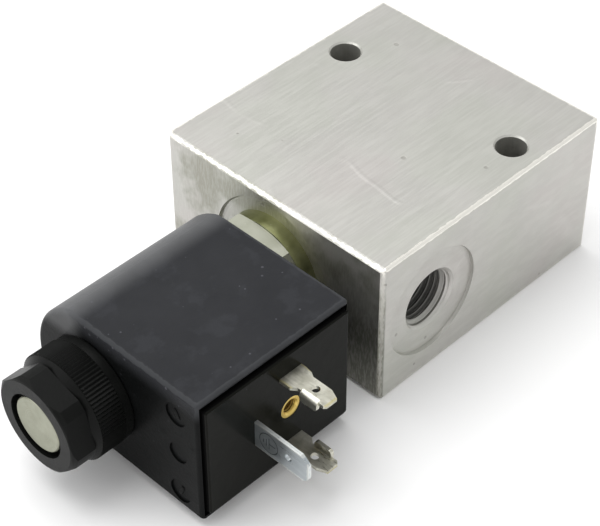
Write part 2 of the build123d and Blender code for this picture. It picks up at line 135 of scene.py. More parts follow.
def capped_surface(name, points, body):
    """A closed mesh from rows of points that wrap round one way. Each end row closes on one point,
    the mean of the row."""
    rows, columns = points.shape[:2]
    first_pole = rows * columns
    last_pole = first_pole + 1
    last_row = first_pole - columns
    ring = np.arange(columns)
    following = (ring + 1) % columns
    first_fan = np.stack([np.full(columns, first_pole), ring, following], axis=-1)
    last_fan = np.stack([np.full(columns, last_pole), last_row + following, last_row + ring], axis=-1)
    flat = np.vstack([points.reshape(-1, 3), points[0].mean(axis=0), points[-1].mean(axis=0)])
    fans = np.vstack([first_fan, last_fan])
    return shell(name, flat, wall(rows, columns, False), fans, body)


def thread(name, start, inwards, root, crest, pitch, length, body):
    """An internal thread. The wall's radius swings as a rounded triangle wave, an arcsine of a cosine,
    between root and crest, once per pitch along the bore and once per turn round it, and fades in and
    out over one pitch at the ends. A plain wall just outside the root closes the shell."""
    steps_round = 96
    steps_per_pitch = 16
    sharpness = 0.94  # 1 would leave the crests pointed
    root_gap = 0.01 * MM
    wall_gap = 0.03 * MM
    around = np.linspace(0, TURN, steps_round, endpoint=False)
    along = np.linspace(0, length, int(length / pitch * steps_per_pitch))
    phase = along[:, None] / pitch - around[None, :] / TURN
    fade = np.clip(np.minimum(along, length - along) / pitch, 0, 1)[:, None]
    wave = np.arcsin(sharpness * np.cos(TURN * phase)) / math.asin(sharpness)
    ridge = (0.5 - 0.5 * wave) * fade
    inner = root - root_gap - (root - crest) * ridge
    outer = np.full((2, steps_round), root + wall_gap)
    radius = np.vstack([inner, outer])
    distance = np.concatenate([along, [length, 0.0]])
    inwards = np.array(inwards, float)
    side = np.cross(inwards, [0.0, 0.0, 1.0])
    up = np.cross(side, inwards)
    spokes = np.cos(around)[None, :, None] * side + np.sin(around)[None, :, None] * up
    centres = np.array(start, float) + distance[:, None, None] * inwards
    return closed_surface(name, centres + radius[..., None] * spokes, body)


def raised_bar(name, centre, half_length, half_width, height, tilt, body):
    """A low rounded bar on a face square to X: a flattened ellipsoid whose sine and cosine are raised
    to a power, so that it is nearly flat on top."""
    power = 0.6
    steepest = 0.47 * math.pi  # short of a quarter turn, where a row would shrink to a point
    around = np.linspace(0, TURN, 48, endpoint=False)
    rise_angle = np.linspace(-steepest, steepest, 18)

    def soft(value):
        return np.sign(value) * np.abs(value) ** power

    level = soft(np.cos(rise_angle))[:, None]
    along = half_length * level * soft(np.cos(around))[None, :]
    across = half_width * level * soft(np.sin(around))[None, :]
    rise = height * soft(np.sin(rise_angle))[:, None] + 0 * around[None, :]
    y = centre[1] + along * math.cos(tilt) - across * math.sin(tilt)
    z = centre[2] + along * math.sin(tilt) + across * math.cos(tilt)
    return capped_surface(name, np.stack([centre[0] - rise, y, z], axis=-1), body)


def helical_wire(name, start, length, coil_radius, wire_radius, turns, body):
    """A round wire along a helix about X. The centre line turns evenly from start over the length, and
    the round section stands square to it, on the outward radius and on the tangent crossed with that
    radius."""
    steps_per_turn = 48
    steps_round = 16
    share = np.linspace(0, 1, turns * steps_per_turn + 1)
    angle = TURN * turns * share
    outward = np.stack([0 * angle, np.cos(angle), np.sin(angle)], axis=-1)
    line = np.array(start, float) + coil_radius * outward
    line[:, 0] += length * share
    advance = 0 * angle + length / (TURN * turns)
    tangent = np.stack([advance, -coil_radius * np.sin(angle), coil_radius * np.cos(angle)], axis=-1)
    tangent /= np.linalg.norm(tangent, axis=1, keepdims=True)
    binormal = np.cross(tangent, outward)
    around = np.linspace(0, TURN, steps_round, endpoint=False)[None, :, None]
    section = np.cos(around) * outward[:, None, :] + np.sin(around) * binormal[:, None, :]
    return capped_surface(name, line[:, None, :] + wire_radius * section, body)


# ================= Shader building blocks =================
def node(tree, kind, inputs=None, **settings):
    """Adds a node. An input is joined where its value is a socket, and set otherwise."""
    made = tree.nodes.new(kind)
    for name, value in settings.items():
        setattr(made, name, value)
    for name, value in (inputs or {}).items():
        if isinstance(value, bpy.types.NodeSocket):
            tree.links.new(value, made.inputs[name])
        else:
            made.inputs[name].default_value = value
    return made


def maths(tree, operation, *values, clamp=False):
    inputs = dict(enumerate(values))
    return node(tree, "ShaderNodeMath", inputs, operation=operation, use_clamp=clamp).outputs[0]


def vector_maths(tree, operation, *values):
    return node(tree, "ShaderNodeVectorMath", dict(enumerate(values)), operation=operation).outputs


def times(tree, first, *others):
    """The product of all the values."""
    for other in others:
        first = maths(tree, "MULTIPLY", first, other)
    return first


def scaled(tree, value, factor, offset, clamp=False):
    """The value times a factor, plus an offset."""
    return maths(tree, "MULTIPLY_ADD", value, factor, offset, clamp=clamp)


def below(tree, value, limit):
    """1 where the value is less than the limit, and 0 elsewhere."""
    return maths(tree, "LESS_THAN", value, limit)


def above(tree, value, limit):
    """1 where the value is more than the limit, and 0 elsewhere."""
    return maths(tree, "GREATER_THAN", value, limit)


def step(tree, value, low, high):
    """0 up to low, 1 from high on, smooth between. With high under low it falls instead of rising."""
    inputs = {"Value": value, "From Min": low, "From Max": high}
    return node(tree, "ShaderNodeMapRange", inputs, interpolation_type="SMOOTHSTEP").outputs[0]


def tint(tree, mask, under, over):
    """One colour under another, shown by the mask."""
    made = node(tree, "ShaderNodeMix", {0: mask, 6: under, 7: over}, data_type="RGBA")
    return made.outputs[2]


def lay(tree, base, colour, mask, share):
    """The base with a share of another colour laid over it where the mask is 1."""
    return tint(tree, times(tree, mask, share), base, colour)


def apart(tree, vector):
    return node(tree, "ShaderNodeSeparateXYZ", {0: vector}).outputs


def effect(name, inputs, outputs, build):
    """A shared node group. build takes its tree and named inputs, and returns the named outputs."""
    group = bpy.data.node_groups.new(name, "ShaderNodeTree")
    for label, kind, value in inputs:
        socket = group.interface.new_socket(label, in_out="INPUT", socket_type=kind)
        if value is not None:
            socket.default_value = value
    for label in outputs:
        group.interface.new_socket(label, in_out="OUTPUT", socket_type="NodeSocketFloat")
    entry = group.nodes.new("NodeGroupInput")
    leave = group.nodes.new("NodeGroupOutput")
    made = build(group, {label: entry.outputs[label] for label, _, _ in inputs})
    for label, socket in zip(outputs, made):
        group.links.new(socket, leave.inputs[label])
    return group


VECTOR = "NodeSocketVector"
FLOAT = "NodeSocketFloat"


def build_clouds(tree, given):
    scale = maths(tree, "DIVIDE", 1.0, given["Size"])
    inputs = {"Vector": given["Vector"], "Scale": scale, "Detail": 4.0, "Roughness": 0.55}
    return [node(tree, "ShaderNodeTexNoise", inputs).outputs["Fac"]]


def build_grain(tree, given):
    finer_by = 3.7
    scale = maths(tree, "DIVIDE", 1.0, given["Size"])
    coarse = node(tree, "ShaderNodeTexNoise", {"Vector": given["Vector"], "Scale": scale, "Detail": 2.0})
    finer = times(tree, scale, finer_by)
    fine = node(tree, "ShaderNodeTexNoise", {"Vector": given["Vector"], "Scale": finer, "Detail": 3.0})
    half = times(tree, fine.outputs["Fac"], 0.5)
    return [scaled(tree, coarse.outputs["Fac"], 0.5, half)]


def build_specks(tree, given):
    smallest = 0.04
    spread = 0.16
    rim = 0.06
    scale = maths(tree, "DIVIDE", 1.0, given["Size"])
    cells = node(tree, "ShaderNodeTexVoronoi", {"Vector": given["Vector"], "Scale": scale})
    chosen = apart(tree, cells.outputs["Color"])
    shown = below(tree, chosen[0], given["Share"])
    reach = scaled(tree, chosen[1], spread, smallest)
    near = maths(tree, "SUBTRACT", reach, cells.outputs["Distance"])
    return [times(tree, step(tree, near, 0.0, rim), shown)]


def build_streaks(tree, given):
    per_metre = 1000.0
    drawn = vector_maths(tree, "MULTIPLY", given["Vector"], given["Stretch"])[0]
    inputs = {"Vector": drawn, "Scale": per_metre, "Detail": 4.0, "Roughness": 0.65}
    return [node(tree, "ShaderNodeTexNoise", inputs).outputs["Fac"]]


def build_rings(tree, given):
    turns = maths(tree, "DIVIDE", given["Radius"], given["Pitch"])
    inputs = {"W": turns, "Scale": 1.0, "Detail": 2.0}
    noise = node(tree, "ShaderNodeTexNoise", inputs, noise_dimensions="1D").outputs["Fac"]
    wave = maths(tree, "SINE", times(tree, turns, TURN))
    return [scaled(tree, wave, 0.2, noise)]


def build_edges(tree, given):
    """A mask along a box's edges, for wear, sheared edges and painted edge highlights. Where the two
    smallest of the distances to its faces are both small, a point is near an edge. Noise makes the border
    ragged, and nothing outside the box is marked."""
    slack = 0.05 * MM
    above_low = vector_maths(tree, "SUBTRACT", given["Vector"], given["Low"])[0]
    below_high = vector_maths(tree, "SUBTRACT", given["High"], given["Vector"])[0]
    x, y, z = apart(tree, vector_maths(tree, "MINIMUM", above_low, below_high)[0])
    smaller = maths(tree, "MINIMUM", x, y)
    larger = maths(tree, "MAXIMUM", x, y)
    second = maths(tree, "MAXIMUM", smaller, maths(tree, "MINIMUM", larger, z))
    scale = maths(tree, "DIVIDE", 0.6, given["Width"])
    ragged = node(tree, "ShaderNodeTexNoise", {"Vector": given["Vector"], "Scale": scale, "Detail": 5.0})
    reach = times(tree, given["Width"], scaled(tree, ragged.outputs["Fac"], 1.2, 0.4))
    share = maths(tree, "DIVIDE", second, reach)
    inside = above(tree, maths(tree, "MINIMUM", smaller, z), -slack)
    return [times(tree, maths(tree, "SUBTRACT", 1.0, step(tree, share, 0.75, 1.05)), inside)]


def build_scuffs(tree, given):
    """Hair scratches: the borders of bent cells, kept only in places."""
    bend = 4.0 * MM
    scale = maths(tree, "DIVIDE", 1.0, given["Size"])
    bent = node(tree, "ShaderNodeTexNoise", {"Vector": given["Vector"], "Scale": scale, "Detail": 1.0})
    moved = vector_maths(tree, "MULTIPLY_ADD", bent.outputs["Color"], (bend, bend, bend), given["Vector"])
    inputs = {"Vector": moved[0], "Scale": times(tree, scale, 0.6)}
    lines = node(tree, "ShaderNodeTexVoronoi", inputs, feature="DISTANCE_TO_EDGE")
    thin = maths(tree, "SUBTRACT", 1.0, step(tree, lines.outputs["Distance"], 0.0, 0.035))
    places = step(tree, bent.outputs["Fac"], 0.56, 0.66)
    return [times(tree, thin, places)]


def on_place(*others):
    """The inputs of an effect that varies over the piece's own coordinates."""
    return [("Vector", VECTOR, None), *others]


clouds = effect("clouded_tone", on_place(("Size", FLOAT, 0.01)), ["Value"], build_clouds)
grain = effect("fine_grain", on_place(("Size", FLOAT, 0.0004)), ["Height"], build_grain)
speck_inputs = on_place(("Size", FLOAT, 0.002), ("Share", FLOAT, 0.2))
specks = effect("loose_specks", speck_inputs, ["Mask"], build_specks)
streaks = effect("drawn_streaks", on_place(("Stretch", VECTOR, None)), ["Value"], build_streaks)
ring_inputs = [("Radius", FLOAT, 0.0), ("Pitch", FLOAT, 0.0002)]
rings = effect("turning_rings", ring_inputs, ["Height"], build_rings)
edge_inputs = on_place(("Low", VECTOR, None), ("High", VECTOR, None), ("Width", FLOAT, 0.0005))
edges = effect("edge_wear_and_glint", edge_inputs, ["Mask"], build_edges)
scuffs = effect("hair_scuffs", on_place(("Size", FLOAT, 0.01)), ["Mask"], build_scuffs)


class Finish:
    """A material being made: its tree, its shader and the object coordinates."""

    def __init__(self, name, **constants):
        self.material = bpy.data.materials.new(name)
        self.material.use_nodes = True
        self.tree = self.material.node_tree
        self.shader = self.tree.nodes["Principled BSDF"]
        for label, value in constants.items():
            self.shader.inputs[label.replace("_", " ")].default_value = value
        self.place = node(self.tree, "ShaderNodeTexCoord").outputs["Object"]

    def use(self, group, **inputs):
        """Places a shared effect and gives back its outputs."""
        made = self.tree.nodes.new("ShaderNodeGroup")
        made.node_tree = group
        for label, value in inputs.items():
            if isinstance(value, bpy.types.NodeSocket):
                self.tree.links.new(value, made.inputs[label])
            else:
                made.inputs[label].default_value = value
        if "Vector" in made.inputs and "Vector" not in inputs:
            self.tree.links.new(self.place, made.inputs["Vector"])
        return made.outputs

    def radius_about(self, axis, centre):
        """Distance from a line along one axis through a centre."""
        keep = [0.0 if letter == axis else 1.0 for letter in "XYZ"]
        shifted = vector_maths(self.tree, "SUBTRACT", self.place, centre)[0]
        flat = vector_maths(self.tree, "MULTIPLY", shifted, keep)[0]
        return vector_maths(self.tree, "LENGTH", flat)["Value"]

    def feed(self, label, socket):
        self.tree.links.new(socket, self.shader.inputs[label])

    def bump(self, height, distance, strength=1.0, under=None):
        """A bump in metres, over another one where given."""
        inputs = {"Height": height, "Distance": distance, "Strength": strength}
        if under is not None:
            inputs["Normal"] = under
        return node(self.tree, "ShaderNodeBump", inputs).outputs["Normal"]


def grey(value, warm=0.0):
    """A grey, warmer for a positive second value."""
    return (value * (1 + warm), value, value * (1 - warm), 1.0)


# ================= Materials =================
# Colours are linear red, green and blue, and opaque.
BAR_DULL = (0.47, 0.465, 0.435, 1)
BAR_PALE = (0.56, 0.55, 0.52, 1)
BAR_PINKISH = (0.52, 0.475, 0.465, 1)
BAR_GREENISH = (0.475, 0.50, 0.43, 1)
BAR_PIT = (0.22, 0.21, 0.19, 1)
BAR_SOIL = (0.215, 0.215, 0.16, 1)
BAR_SIDE_SHADE = (0.36, 0.355, 0.33, 1)
BAR_COIL_SHADE = (0.14, 0.14, 0.115, 1)
BAR_FIBRE = (0.66, 0.655, 0.62, 1)
BAR_SCRATCH = (0.78, 0.77, 0.74, 1)
BAR_WORN_EDGE_GLINT = (0.93, 0.91, 0.84, 1)
PORT_SHADE = (0.05, 0.05, 0.045, 1)
COIL_DARK = (0.0028, 0.0031, 0.0031, 1)
COIL_LIGHT = (0.0068, 0.0072, 0.0072, 1)
COIL_DUSTY_LIT_TOP_DARK = (0.020, 0.0208, 0.0232, 1)
COIL_DUSTY_LIT_TOP_LIGHT = (0.033, 0.034, 0.0372, 1)
COIL_BLUISH = (0.046, 0.048, 0.054, 1)
COIL_SHOULDER_HIGHLIGHT = (0.125, 0.127, 0.130, 1)
COIL_PAD = (0.0048, 0.0051, 0.0038, 1)
COIL_DUST = (0.10, 0.10, 0.115, 1)
COIL_WORN_EDGE_GLINT = (0.075, 0.078, 0.082, 1)
GROOVE_SHADE = (0.0008, 0.0008, 0.0008, 1)
NUT_DARK = (0.0028, 0.0031, 0.0029, 1)
NUT_LIGHT = (0.0078, 0.0082, 0.0076, 1)
NUT_DUST = (0.07, 0.07, 0.066, 1)
TIN_DARK = (0.43, 0.42, 0.345, 1)
TIN_LIGHT = (0.66, 0.65, 0.57, 1)
TIN_EDGE = (0.55, 0.50, 0.26, 1)
TIN_STAIN = (0.40, 0.40, 0.33, 1)
BLADE_DARK = (0.44, 0.48, 0.50, 1)
BLADE_LIGHT = (0.54, 0.58, 0.60, 1)
BLADE_EDGE = (0.75, 0.77, 0.74, 1)
BLADE_ROOT_REFLECTION = (0.05, 0.05, 0.04, 1)
SIGN_DARK = (0.08, 0.09, 0.09, 1)
BRASS_DARK = (0.56, 0.38, 0.08, 1)
BRASS_LIGHT = (0.85, 0.66, 0.22, 1)
BRASS_HOLE_SHADE = (0.12, 0.065, 0.012, 1)
CORE_DARK = (0.26, 0.265, 0.20, 1)
CORE_LIGHT = (0.37, 0.375, 0.30, 1)
CORE_SPOT = (0.20, 0.19, 0.15, 1)
HEX_DARK = (0.34, 0.35, 0.27, 1)
HEX_LIGHT = (0.47, 0.475, 0.41, 1)
OLIVE_DARK = (0.20, 0.215, 0.075, 1)
OLIVE_LIGHT = (0.42, 0.43, 0.24, 1)
ZINC_SHADED = (0.09, 0.095, 0.05, 1)
ZINC_SPOT = (0.56, 0.56, 0.48, 1)
COPPER_DARK = (0.42, 0.14, 0.05, 1)
COPPER_LIGHT = (0.66, 0.28, 0.12, 1)
NYLON_DARK = (0.58, 0.54, 0.42, 1)
NYLON_LIGHT = (0.70, 0.66, 0.54, 1)


def aluminium():
    """Milled bar: light warm grey, clouded, with pits, hair scratches, bright broken edges that are partly a
    painted highlight, and turned spotfaces. Painted shade darkens the side face a little, the ports inside,
    and the front face low down by the coil."""
    ring_pitch = 0.28 * MM
    made = Finish("block_aluminium", Metallic=0.85)
    tree = made.tree
    x, y, z = apart(tree, made.place)
    tone = made.use(clouds, Size=12 * MM)["Value"]
    hue = made.use(clouds, Size=30 * MM)["Value"]
    milled = made.use(streaks, Stretch=(0.14, 3.0, 0.5))["Value"]
    pits = made.use(specks, Size=4.5 * MM, Share=0.16)["Mask"]
    scratches = made.use(scuffs, Size=14 * MM)["Mask"]
    low = (BLOCK_FRONT, BLOCK_SIDE, 0.0)
    high = (BLOCK_REAR, -BLOCK_SIDE, BLOCK_TOP)
    worn_and_glint = made.use(edges, Low=low, High=high, Width=0.75 * MM)["Mask"]
    # Bright broken edges: partly real wear, partly a painted highlight, strongest along the lit top edges.
    lit_upper_edge = step(tree, z, BLOCK_TOP - 2.5 * MM, BLOCK_TOP - 0.8 * MM)
    worn_and_glint = times(tree, worn_and_glint, scaled(tree, lit_upper_edge, 0.75, 0.25))
    front_face = step(tree, x, BLOCK_FRONT + FACE_FAR, BLOCK_FRONT + FACE_NEAR)
    shaded_side_face = step(tree, y, BLOCK_SIDE + FACE_FAR, BLOCK_SIDE + FACE_NEAR)
    soiled = times(tree, front_face, step(tree, tone, 0.40, 0.58))
    near_side = step(tree, y, -12 * MM, -21 * MM)
    low_down = step(tree, z, 31 * MM, 14 * MM)
    base = tint(tree, tone, BAR_DULL, BAR_PALE)
    base = lay(tree, base, BAR_PINKISH, step(tree, hue, 0.5, 0.62), share=0.35)
    base = lay(tree, base, BAR_GREENISH, step(tree, hue, 0.5, 0.38), share=0.30)
    base = lay(tree, base, BAR_PIT, pits, share=0.55)
    base = lay(tree, base, BAR_SOIL, soiled, share=0.65)
    # Painted shade: the side face a little darker than the top.
    base = lay(tree, base, BAR_SIDE_SHADE, shaded_side_face, share=0.12)
    # Painted shade and reflection of the black coil: the front face darker low down towards the connector
    # side.
    base = tint(tree, times(tree, front_face, near_side, low_down), base, BAR_COIL_SHADE)
    base = lay(tree, base, BAR_FIBRE, step(tree, milled, 0.42, 0.62), share=0.22)
    base = lay(tree, base, BAR_SCRATCH, scratches, share=0.09)
    base = lay(tree, base, BAR_WORN_EDGE_GLINT, worn_and_glint, share=0.85)

    # Painted shade inside the ports: dark from just inside the mouth, and only on their own side of the
    # block.
    about_side = made.radius_about("Y", (SIDE_PORT_X, 0.0, AXIS_HEIGHT))
    about_axis = made.radius_about("X", (0.0, 0.0, AXIS_HEIGHT))
    in_side = times(tree, below(tree, about_side, PORT_SHADE_RADIUS), step(tree, y, -28.7 * MM, -25.5 * MM))
    in_end = times(tree, below(tree, about_axis, PORT_SHADE_RADIUS), step(tree, x, 18.3 * MM, 15 * MM))
    in_side = times(tree, in_side, below(tree, y, 0.0))
    in_end = times(tree, in_end, above(tree, x, 0.0))
    base = lay(tree, base, PORT_SHADE, maths(tree, "MAXIMUM", in_side, in_end), share=0.82)
    made.feed("Base Color", base)
    rough = scaled(tree, pits, 0.25, scaled(tree, milled, 0.22, 0.30))
    made.feed("Roughness", scaled(tree, worn_and_glint, -0.12, rough, clamp=True))

    # Turning rings on the spotfaces and in the two ports.
    on_side = times(tree, below(tree, about_side, SIDE_RINGS_RADIUS), below(tree, y, -14.5 * MM))
    at_front = below(tree, x, BLOCK_FRONT + 0.8 * MM)
    at_rear = above(tree, x, BLOCK_REAR - 15 * MM)
    ends = maths(tree, "ADD", at_front, at_rear)
    on_ends = times(tree, ends, below(tree, about_axis, END_RINGS_RADIUS))
    side_rings = times(tree, made.use(rings, Radius=about_side, Pitch=ring_pitch)["Height"], on_side)
    end_rings = times(tree, made.use(rings, Radius=about_axis, Pitch=ring_pitch)["Height"], on_ends)
    lathe_cut = made.bump(maths(tree, "ADD", side_rings, end_rings), 0.04 * MM)
    rough_cut = made.bump(milled, 0.03 * MM, under=lathe_cut)
    made.feed("Normal", made.bump(maths(tree, "SUBTRACT", scratches, pits), 0.03 * MM, under=rough_cut))
    return made.material


def moulded_coil():
    """Coil encapsulation: charcoal satin with bluish smudges and dust on top, the top also lighter as
    painted light, a painted highlight on the rounded shoulder and painted glint along the top edges, the
    connector face smoother and glossier, the groove round it painted near-black as shade."""
    made = Finish("coil_black", Specular_IOR_Level=0.055)
    tree = made.tree
    x, y, z = apart(tree, made.place)
    pad = step(tree, times(tree, y, -1.0), -COIL_SIDE - 0.05 * MM, -COIL_SIDE + 0.2 * MM)
    dusty_lit_top = step(tree, z, COIL_TOP - 5 * MM, COIL_TOP - 0.5 * MM)
    tone = made.use(clouds, Size=9 * MM)["Value"]
    patches = step(tree, made.use(clouds, Size=6 * MM)["Value"], 0.52, 0.64)
    smudge = step(tree, made.use(clouds, Size=3.5 * MM)["Value"], 0.58, 0.78)
    dust = made.use(specks, Size=1.6 * MM, Share=0.22)["Mask"]
    low = (COIL_FRONT, COIL_SIDE, COIL_BOTTOM)
    high = (COIL_REAR, COIL_FAR_SIDE, COIL_TOP)
    worn_and_glint = made.use(edges, Low=low, High=high, Width=0.8 * MM)["Mask"]
    # A painted highlight along the rounded shoulder between the top and the far side.
    shoulder = times(tree, step(tree, y, 1.5 * MM, 6.5 * MM), step(tree, z, 24.5 * MM, 28.5 * MM))
    shoulder_highlight = times(tree, shoulder, scaled(tree, tone, 0.5, 0.45))
    from_middle = maths(tree, "ABSOLUTE", maths(tree, "SUBTRACT", z, AXIS_HEIGHT))
    from_pad = maths(tree, "ABSOLUTE", maths(tree, "SUBTRACT", x, PAD_MIDDLE))
    in_height = below(tree, from_middle, GROOVE_HALF_HEIGHT)
    in_length = below(tree, from_pad, GROOVE_HALF_LENGTH)
    in_depth = times(tree, above(tree, y, GROOVE_OUTER), below(tree, y, GROOVE_INNER))
    groove = times(tree, in_height, in_length, in_depth)
    base = tint(tree, tone, COIL_DARK, COIL_LIGHT)
    # The top lighter than the sides: partly dust, partly painted light from above.
    base = tint(tree, dusty_lit_top, base, tint(tree, tone, COIL_DUSTY_LIT_TOP_DARK, COIL_DUSTY_LIT_TOP_LIGHT))
    base = lay(tree, base, COIL_BLUISH, times(tree, patches, dusty_lit_top), share=0.28)
    base = tint(tree, shoulder_highlight, base, COIL_SHOULDER_HIGHLIGHT)
    base = tint(tree, pad, base, COIL_PAD)
    base = tint(tree, times(tree, scaled(tree, dusty_lit_top, 0.45, 0.10), dust), base, COIL_DUST)
    # Lighter top edges: partly wear, partly a painted highlight.
    base = lay(tree, base, COIL_WORN_EDGE_GLINT, times(tree, worn_and_glint, dusty_lit_top), share=0.35)
    # Painted shade: the groove round the connector face near-black.
    base = tint(tree, groove, base, GROOVE_SHADE)
    made.feed("Base Color", base)
    satin = scaled(tree, smudge, 0.12, scaled(tree, tone, 0.16, 0.30))
    satin = scaled(tree, pad, -0.20, satin)
    made.feed("Roughness", scaled(tree, groove, 0.5, satin, clamp=True))
    skin = made.use(grain, Size=0.7 * MM)["Height"]
    flow = made.bump(tone, 0.3 * MM, strength=0.35)
    soft = scaled(tree, pad, -0.75, 1.0)
    made.feed("Normal", made.bump(times(tree, skin, soft), 0.05 * MM, under=flow))
    return made.material


def moulded_nut():
    """Nut: black nylon, satin, with a little pale dust."""
    made = Finish("nut_black", Specular_IOR_Level=0.085)
    tree = made.tree
    tone = made.use(clouds, Size=4 * MM)["Value"]
    dust = made.use(specks, Size=1.3 * MM, Share=0.16)["Mask"]
    made.feed("Base Color", lay(tree, tint(tree, tone, NUT_DARK, NUT_LIGHT), NUT_DUST, dust, share=0.25))
    made.feed("Roughness", scaled(tree, tone, 0.2, 0.27))
    made.feed("Normal", made.bump(made.use(grain, Size=0.6 * MM)["Height"], 0.05 * MM))
    return made.material


def plated(name, dark, light, rough, edge, pieces, stain=None, root=0.0, sign=False):
    """Rolled and plated sheet: drawn streaks, clouded tone and sheared edges of another colour. It is
    duller at the root by the coil, and painted darker there as far as root says, a painted reflection of the
    black coil. Stains and the sign's dark lines come where asked for."""
    made = Finish(name, Metallic=1.0)
    tree = made.tree
    x, y = apart(tree, made.place)[:2]
    drawn = made.use(streaks, Stretch=(0.8, 0.12, 0.8))["Value"]
    tone = made.use(clouds, Size=2.5 * MM)["Value"]
    mix = scaled(tree, drawn, 0.6, times(tree, tone, 0.4))
    base = tint(tree, step(tree, mix, 0.35, 0.65), dark, light)
    if stain is not None:
        patches = step(tree, made.use(clouds, Size=1.6 * MM)["Value"], 0.54, 0.66)
        base = lay(tree, base, stain, patches, share=0.6)
    for piece in pieces:
        low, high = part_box(piece)
        rim = made.use(edges, Low=tuple(low), High=tuple(high), Width=0.4 * MM)["Mask"]
        base = lay(tree, base, edge, rim, share=0.7)
    near_coil = step(tree, y, BLADE_CLEAR, BLADE_ROOT)
    # Painted reflection of the black coil: darker towards the root.
    base = lay(tree, base, BLADE_ROOT_REFLECTION, near_coil, share=root)
    if sign:
        about_sign = made.radius_about("X", (0.0, SIGN_Y, CONNECTOR_HEIGHT))
        sunk = step(tree, x, SIGN_FACE + 0.01 * MM, SIGN_FACE + 0.05 * MM)
        stamped = times(tree, sunk, below(tree, x, SIGN_FACE + 0.2 * MM))
        stamped = times(tree, stamped, below(tree, about_sign, SIGN_RADIUS))
        base = lay(tree, base, SIGN_DARK, stamped, share=0.85)
    made.feed("Base Color", base)
    made.feed("Roughness", scaled(tree, drawn, 0.2, scaled(tree, near_coil, 0.18, rough)))
    pocked = made.use(grain, Size=0.3 * MM)["Height"]
    made.feed("Normal", made.bump(pocked, 0.01 * MM, under=made.bump(drawn, 0.01 * MM)))
    return made.material


def turned(name, dark, light, rough, pitch=0.22 * MM, axis="X", centre=(0.0, 0.0, AXIS_HEIGHT),
           spot=None, shaded_hole=None):
    """Turned metal: rings about one axis and along it, and a clouded tone. Specks of another colour
    come where given, and painted shade darkening down a bore where one is given."""
    hole_fade = 1.2 * MM
    made = Finish(name, Metallic=1.0)
    tree = made.tree
    tone = made.use(clouds, Size=3 * MM)["Value"]
    about = made.radius_about(axis, centre)
    along = apart(tree, made.place)["XYZ".index(axis)]
    across_cuts = made.use(rings, Radius=about, Pitch=pitch)["Height"]
    along_cuts = made.use(rings, Radius=along, Pitch=pitch)["Height"]
    marks = times(tree, maths(tree, "ADD", across_cuts, along_cuts), 0.5)
    mix = scaled(tree, marks, 0.4, times(tree, tone, 0.6))
    base = tint(tree, step(tree, mix, 0.3, 0.7), dark, light)
    if spot is not None:
        dots = made.use(specks, Size=0.9 * MM, Share=0.3)["Mask"]
        base = lay(tree, base, spot, dots, share=0.5)
    # Painted shade inside the bore, darker further in.
    if shaded_hole is not None:
        radius, mouth, colour = shaded_hole
        depth = step(tree, apart(tree, made.place)[1], mouth, mouth + hole_fade)
        base = tint(tree, times(tree, below(tree, about, radius), depth), base, colour)
    made.feed("Base Color", base)
    made.feed("Roughness", scaled(tree, tone, 0.18, rough))
    made.feed("Normal", made.bump(marks, 0.012 * MM))
    return made.material


def zinc_plated():
    """Yellow passivated zinc: the hexagon pale and greyish, the collar and what lies behind it olive,
    both darker lower down."""
    border = 0.1 * MM
    made = Finish("zinc_yellow_steel", Metallic=1.0)
    tree = made.tree
    x, _, z = apart(tree, made.place)
    tone = made.use(clouds, Size=3 * MM)["Value"]
    about = made.radius_about("X", (0.0, 0.0, AXIS_HEIGHT))
    lathe = made.use(rings, Radius=about, Pitch=0.22 * MM)["Height"]
    dots = made.use(specks, Size=0.9 * MM, Share=0.3)["Mask"]
    hexagon = tint(tree, tone, HEX_DARK, HEX_LIGHT)
    olive = tint(tree, tone, OLIVE_DARK, OLIVE_LIGHT)
    base = tint(tree, step(tree, x, HEX_END - border, HEX_END + border), hexagon, olive)
    base = lay(tree, base, ZINC_SHADED, step(tree, z, 28.5 * MM, 20 * MM), share=0.7)
    base = lay(tree, base, ZINC_SPOT, dots, share=0.35)
    made.feed("Base Color", base)
    made.feed("Roughness", scaled(tree, tone, 0.18, 0.28))
    made.feed("Normal", made.bump(lathe, 0.012 * MM))
    return made.material


def copper_turns():
    """Enamelled wire: one rounded turn after another along the bobbin, in a clouded tone."""
    wire_pitch = 0.35 * MM
    made = Finish("copper_wire", Metallic=0.9, Coat_Weight=0.6, Coat_Roughness=0.12)
    tree = made.tree
    along = apart(tree, made.place)[0]
    tone = made.use(clouds, Size=2 * MM)["Value"]
    made.feed("Base Color", tint(tree, tone, COPPER_DARK, COPPER_LIGHT))
    made.feed("Roughness", scaled(tree, tone, 0.15, 0.2))
    wave = maths(tree, "SINE", times(tree, along, math.pi / wire_pitch))
    made.feed("Normal", made.bump(maths(tree, "ABSOLUTE", wave), 0.12 * MM))
    return made.material


def clouded(name, dark, light, rough, size, depth, level=0.5, metallic=0.0):
    """A plain surface: clouded tone, fine grain and a few grey specks."""
    made = Finish(name, Specular_IOR_Level=level, Metallic=metallic)
    tree = made.tree
    tone = made.use(clouds, Size=3 * MM)["Value"]
    dots = made.use(specks, Size=1.2 * MM, Share=0.15)["Mask"]
    made.feed("Base Color", lay(tree, tint(tree, tone, dark, light), grey(0.4), dots, share=0.25))
    made.feed("Roughness", scaled(tree, tone, 0.2, rough))
    made.feed("Normal", made.bump(made.use(grain, Size=size)["Height"], depth))
    return made.material


